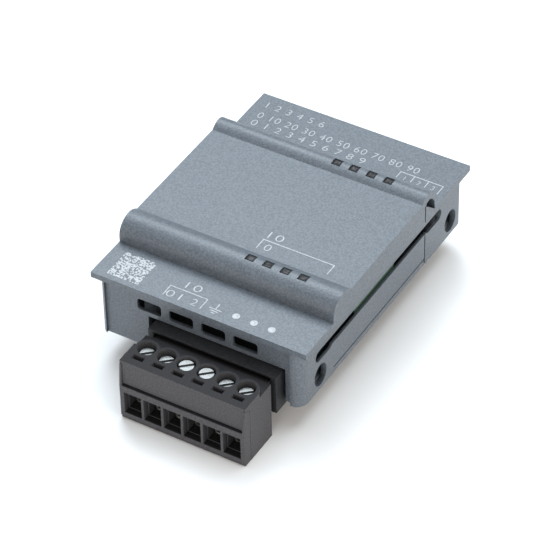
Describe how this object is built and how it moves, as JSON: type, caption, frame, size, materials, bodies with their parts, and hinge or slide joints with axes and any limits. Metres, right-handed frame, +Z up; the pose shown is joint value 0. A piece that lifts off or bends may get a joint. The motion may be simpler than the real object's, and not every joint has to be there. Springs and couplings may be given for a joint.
{
  "type": "plc module",
  "caption": "Snap-in signal module for a small industrial controller: blue-grey housing, circuit board, mating connector and a pull-off screw terminal plug.",
  "frame": {"origin": "under the middle of the whole object, level with the bottom of the plug and of the board connector", "axes": "+Z up out of the cover's face, -Y towards the screw terminals, +X to the right seen from the terminals"},
  "size_m": [0.038, 0.062, 0.0203],
  "materials": {
    "housing": "fine moulded texture, blue-grey",
    "black_plastic": "black moulded plastic, satin",
    "plug_plastic": "black moulded plastic, satin",
    "circuit_board": "green solder mask",
    "contact_metal": "tin plated, satin",
    "screw_metal": "zinc plated, bright",
    "capacitor_can": "satin can",
    "chip": "black moulded package",
    "light_guide": "smoked clear plastic",
    "white": "white"
  },
  "bodies": {
    "root": {"top_cover": "housing", "bottom_cover": "housing", "circuit_board": "circuit_board", "terminal_header": "black_plastic", "header_pins": "contact_metal", "board_connector": "black_plastic", "connector_pins": "contact_metal", "main_controller": "chip", "output_converter": "chip", "signal_isolators": "chip", "power_transformer": "chip", "smoothing_capacitors": "capacitor_can", "power_inductor": "chip", "chip_resistors": "chip", "front_lights": "white", "rear_lights": "white", "front_light_guide": "light_guide", "rear_light_guide": "light_guide"},
    "plug": {"plug_housing": "plug_plastic", "wire_entry_frame": "plug_plastic", "plug_contacts": "contact_metal"},
    "screw_1": {"terminal_screw_1": "screw_metal"},
    "cage_1": {"clamp_cage_1": "contact_metal"},
    "screw_2": {"terminal_screw_2": "screw_metal"},
    "cage_2": {"clamp_cage_2": "contact_metal"},
    "screw_3": {"terminal_screw_3": "screw_metal"},
    "cage_3": {"clamp_cage_3": "contact_metal"},
    "screw_4": {"terminal_screw_4": "screw_metal"},
    "cage_4": {"clamp_cage_4": "contact_metal"},
    "screw_5": {"terminal_screw_5": "screw_metal"},
    "cage_5": {"clamp_cage_5": "contact_metal"},
    "screw_6": {"terminal_screw_6": "screw_metal"},
    "cage_6": {"clamp_cage_6": "contact_metal"}
  },
  "joints": [
    {"name": "plug_pull", "type": "slide", "parent": "root", "child": "plug", "axis": [0, -1, 0], "range_m": [0, 0.01]},
    {"name": "screw_turn_1", "type": "hinge", "parent": "plug", "child": "screw_1", "pos_m": [-0.00545, -0.0263, 0.0098], "axis": [0, 0, -1], "range_deg": [0, 1440]},
    {"name": "cage_rise_1", "type": "slide", "parent": "plug", "child": "cage_1", "axis": [0, 0, 1], "range_m": [0, 0.0016]},
    {"name": "screw_turn_2", "type": "hinge", "parent": "plug", "child": "screw_2", "pos_m": [-0.00195, -0.0263, 0.0098], "axis": [0, 0, -1], "range_deg": [0, 1440]},
    {"name": "cage_rise_2", "type": "slide", "parent": "plug", "child": "cage_2", "axis": [0, 0, 1], "range_m": [0, 0.0016]},
    {"name": "screw_turn_3", "type": "hinge", "parent": "plug", "child": "screw_3", "pos_m": [0.00155, -0.0263, 0.0098], "axis": [0, 0, -1], "range_deg": [0, 1440]},
    {"name": "cage_rise_3", "type": "slide", "parent": "plug", "child": "cage_3", "axis": [0, 0, 1], "range_m": [0, 0.0016]},
    {"name": "screw_turn_4", "type": "hinge", "parent": "plug", "child": "screw_4", "pos_m": [0.00505, -0.0263, 0.0098], "axis": [0, 0, -1], "range_deg": [0, 1440]},
    {"name": "cage_rise_4", "type": "slide", "parent": "plug", "child": "cage_4", "axis": [0, 0, 1], "range_m": [0, 0.0016]},
    {"name": "screw_turn_5", "type": "hinge", "parent": "plug", "child": "screw_5", "pos_m": [0.00855, -0.0263, 0.0098], "axis": [0, 0, -1], "range_deg": [0, 1440]},
    {"name": "cage_rise_5", "type": "slide", "parent": "plug", "child": "cage_5", "axis": [0, 0, 1], "range_m": [0, 0.0016]},
    {"name": "screw_turn_6", "type": "hinge", "parent": "plug", "child": "screw_6", "pos_m": [0.01205, -0.0263, 0.0098], "axis": [0, 0, -1], "range_deg": [0, 1440]},
    {"name": "cage_rise_6", "type": "slide", "parent": "plug", "child": "cage_6", "axis": [0, 0, 1], "range_m": [0, 0.0016]}
  ],
  "couplings": [
    {"joint": "screw_turn_1", "follows": "cage_rise_1", "rad_per_m": 15708},
    {"joint": "screw_turn_2", "follows": "cage_rise_2", "rad_per_m": 15708},
    {"joint": "screw_turn_3", "follows": "cage_rise_3", "rad_per_m": 15708},
    {"joint": "screw_turn_4", "follows": "cage_rise_4", "rad_per_m": 15708},
    {"joint": "screw_turn_5", "follows": "cage_rise_5", "rad_per_m": 15708},
    {"joint": "screw_turn_6", "follows": "cage_rise_6", "rad_per_m": 15708}
  ]
}
